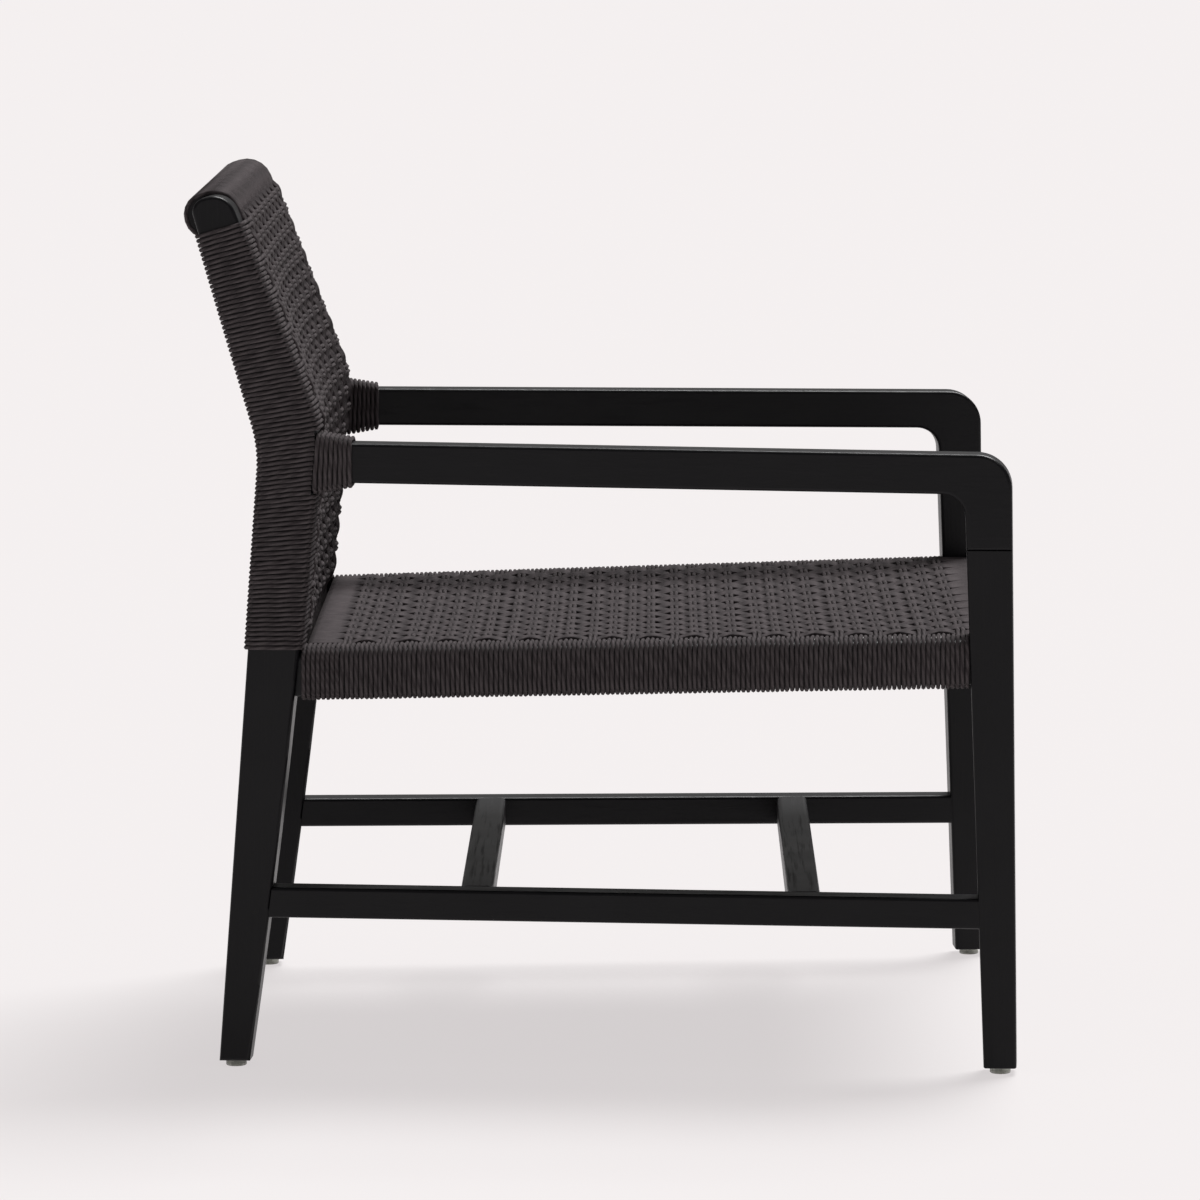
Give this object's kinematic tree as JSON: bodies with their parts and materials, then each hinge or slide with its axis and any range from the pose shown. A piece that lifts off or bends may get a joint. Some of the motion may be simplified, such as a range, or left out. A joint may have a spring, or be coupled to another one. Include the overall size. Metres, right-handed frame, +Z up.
{
  "type": "wooden armchair",
  "caption": "Low lounge armchair with a dark wooden frame, level arms that turn down into the front legs, and a seat and reclined back of woven cord.",
  "frame": {"origin": "on the floor, under the middle of the chair's overall box", "axes": "+Z up; +X to the sitter's left, across the chair; -Y to the front, so +Y is the back"},
  "size_m": [0.6444, 0.7556, 0.8034],
  "materials": {
    "black_stained_wood": "black stain under a thin satin lacquer",
    "woven_cord": "twisted charcoal cord, matt",
    "clear_glide": "pale translucent plastic",
    "beech_dowel": "fluted beech, raw",
    "steel_nail": "bright zinc"
  },
  "bodies": {
    "root": {"front_seat_rail": "black_stained_wood", "rear_seat_rail": "black_stained_wood", "lower_back_rail": "black_stained_wood", "crest_rail": "black_stained_wood", "front_crossbar": "black_stained_wood", "rear_crossbar": "black_stained_wood", "rear_post_left": "black_stained_wood", "rear_post_right": "black_stained_wood", "front_leg_left": "black_stained_wood", "front_leg_right": "black_stained_wood", "armrest_left": "black_stained_wood", "armrest_right": "black_stained_wood", "seat_side_rail_left": "black_stained_wood", "seat_side_rail_right": "black_stained_wood", "side_stretcher_left": "black_stained_wood", "side_stretcher_right": "black_stained_wood", "front_rail_wrap": "woven_cord", "rear_rail_wrap": "woven_cord", "lower_back_rail_wrap": "woven_cord", "crest_wrap": "woven_cord", "seat_weave": "woven_cord", "back_weave": "woven_cord", "post_wrap_left": "woven_cord", "post_wrap_right": "woven_cord", "arm_wrap_left": "woven_cord", "arm_wrap_right": "woven_cord", "side_rail_wrap_left": "woven_cord", "side_rail_wrap_right": "woven_cord", "rear_glide_left": "clear_glide", "rear_glide_right": "clear_glide", "front_glide_left": "clear_glide", "front_glide_right": "clear_glide", "arm_dowels": "beech_dowel", "seat_rail_dowels": "beech_dowel", "back_rail_dowels": "beech_dowel", "stretcher_dowels": "beech_dowel", "crossbar_dowels": "beech_dowel", "glide_nails": "steel_nail"}
  },
  "joints": []
}
